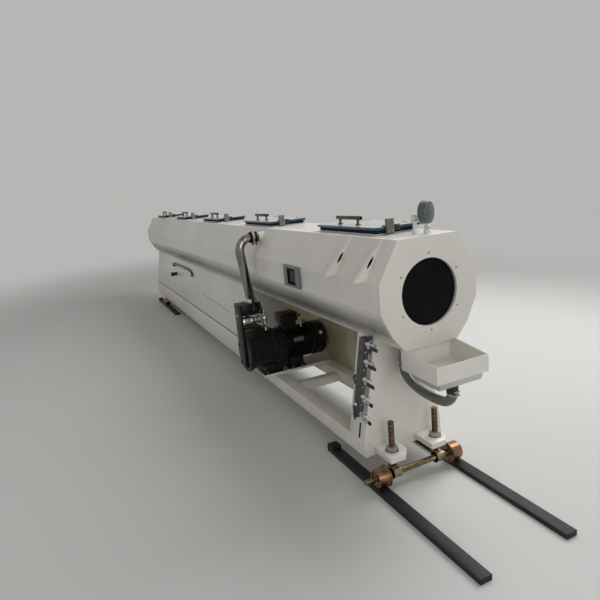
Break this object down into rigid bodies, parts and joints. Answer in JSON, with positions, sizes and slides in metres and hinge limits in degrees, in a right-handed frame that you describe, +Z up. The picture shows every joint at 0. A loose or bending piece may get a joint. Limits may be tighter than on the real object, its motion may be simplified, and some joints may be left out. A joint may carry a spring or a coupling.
{
  "type": "vacuum calibration tank of a plastic pipe extrusion line",
  "caption": "Long white folded-steel vacuum sizing tank on a rail-mounted frame, with lids, vacuum pump set, valve manifold and drip tray.",
  "frame": {"origin": "middle of the machine's footprint on the floor", "axes": "+X along the line towards the end plate with the drip tray, -Y towards the operator's side, +Z up"},
  "size_m": [6.662, 0.768, 1.4],
  "materials": {
    "white_paint": "semi-gloss white machine enamel",
    "stainless": "brushed stainless steel",
    "chrome": "bright nickel plate",
    "seal_rubber": "matt black rubber sheet",
    "gasket_rubber": "dark navy sponge rubber",
    "lid_pane": "thick acrylic sheet with a teal edge",
    "grey_frame": "grey painted frame",
    "dark_glass": "dark glass",
    "gauge_case": "grey-green gauge case",
    "white_plastic": "white moulded plastic",
    "grey_fitting": "grey plastic fitting",
    "clear_hose": "reinforced clear hose, grey with age",
    "bay_panel": "tan coated panel",
    "passivated_steel": "yellow-passivated steel",
    "black_steel": "black flat bar",
    "black_paint": "black machine enamel",
    "dark_grey_paint": "dark grey square bar",
    "blue_grip": "dark blue dipped grip",
    "nickel_lever": "nickel lever with a black tip"
  },
  "bodies": {
    "rails": {"floor_rails": "black_steel", "rail_stops": "black_steel"},
    "carriage": {"tank_top_plate": "white_paint", "tank_left_wall": "white_paint", "tank_right_wall": "white_paint", "tank_bottom_pan": "white_paint", "near_end_plate": "white_paint", "far_end_plate": "white_paint", "seal_sheets": "seal_rubber", "lifting_gussets": "white_paint", "hatch_collars": "stainless", "hatch_gaskets": "gasket_rubber", "window_frame": "grey_frame", "window_glass": "dark_glass", "pressure_gauge": "gauge_case", "relief_valve": "white_plastic", "drip_tray": "white_paint", "tray_hopper": "stainless", "tank_drain": "grey_fitting", "drain_hose": "clear_hose", "near_pedestal": "white_paint", "far_pedestal": "white_paint", "frame_beams": "white_paint", "cross_bars": "white_paint", "water_box_sides": "white_paint", "water_box_ends": "white_paint", "water_box_floor": "white_paint", "box_outlet": "black_paint", "bay_panel": "bay_panel", "foot_plates": "white_paint", "jack_screws": "passivated_steel", "axle_bearings": "passivated_steel", "pump_base": "stainless", "pump_motor": "black_paint", "terminal_box": "black_paint", "pump_head": "black_paint", "pump_fittings": "chrome", "suction_pipe": "stainless", "manifold_bar": "dark_grey_paint", "valve_bodies": "chrome"},
    "near_wheels": {"near_wheelset": "passivated_steel"},
    "far_wheels": {"far_wheelset": "passivated_steel"},
    "lid_1": {"lid_1": "lid_pane"},
    "lid_2": {"lid_2": "lid_pane"},
    "lid_3": {"lid_3": "lid_pane"},
    "lid_4": {"lid_4": "lid_pane"},
    "lid_5": {"lid_5": "lid_pane"},
    "valve_lever_1": {"valve_lever_1": "blue_grip"},
    "valve_lever_2": {"valve_lever_2": "blue_grip"},
    "valve_lever_3": {"valve_lever_3": "blue_grip"},
    "valve_lever_4": {"valve_lever_4": "nickel_lever"},
    "valve_lever_5": {"valve_lever_5": "nickel_lever"}
  },
  "joints": [
    {"name": "tank_travel", "type": "slide", "parent": "rails", "child": "carriage", "axis": [1, 0, 0], "range_m": [-0.35, 0.6]},
    {"name": "near_wheels_roll", "type": "hinge", "parent": "carriage", "child": "near_wheels", "pos_m": [2.628, 0.056, 0.072], "axis": [0, 1, 0], "continuous": true},
    {"name": "far_wheels_roll", "type": "hinge", "parent": "carriage", "child": "far_wheels", "pos_m": [-2.812, 0.056, 0.072], "axis": [0, 1, 0], "continuous": true},
    {"name": "lid_1_hinge", "type": "hinge", "parent": "carriage", "child": "lid_1", "pos_m": [2.231, 0.226, 1.2843], "axis": [-1, 0, 0], "range_deg": [0, 105]},
    {"name": "lid_2_hinge", "type": "hinge", "parent": "carriage", "child": "lid_2", "pos_m": [0.936, 0.226, 1.2843], "axis": [-1, 0, 0], "range_deg": [0, 105]},
    {"name": "lid_3_hinge", "type": "hinge", "parent": "carriage", "child": "lid_3", "pos_m": [-0.359, 0.226, 1.2843], "axis": [-1, 0, 0], "range_deg": [0, 105]},
    {"name": "lid_4_hinge", "type": "hinge", "parent": "carriage", "child": "lid_4", "pos_m": [-1.654, 0.226, 1.2843], "axis": [-1, 0, 0], "range_deg": [0, 105]},
    {"name": "lid_5_hinge", "type": "hinge", "parent": "carriage", "child": "lid_5", "pos_m": [-2.949, 0.226, 1.2843], "axis": [-1, 0, 0], "range_deg": [0, 105]},
    {"name": "valve_1_turn", "type": "hinge", "parent": "carriage", "child": "valve_lever_1", "pos_m": [2.577, -0.16077, 0.736], "axis": [0, 1, 0], "range_deg": [0, 90]},
    {"name": "valve_2_turn", "type": "hinge", "parent": "carriage", "child": "valve_lever_2", "pos_m": [2.577, -0.17598, 0.648], "axis": [0, 1, 0], "range_deg": [0, 90]},
    {"name": "valve_3_turn", "type": "hinge", "parent": "carriage", "child": "valve_lever_3", "pos_m": [2.577, -0.19119, 0.56], "axis": [0, 1, 0], "range_deg": [0, 90]},
    {"name": "valve_4_turn", "type": "hinge", "parent": "carriage", "child": "valve_lever_4", "pos_m": [2.577, -0.2064, 0.472], "axis": [0, 1, 0], "range_deg": [0, 90]},
    {"name": "valve_5_turn", "type": "hinge", "parent": "carriage", "child": "valve_lever_5", "pos_m": [2.577, -0.22161, 0.384], "axis": [0, 1, 0], "range_deg": [0, 90]}
  ],
  "couplings": [
    {"joint": "near_wheels_roll", "follows": "tank_travel", "rad_per_m": 21.367},
    {"joint": "far_wheels_roll", "follows": "tank_travel", "rad_per_m": 21.367}
  ]
}
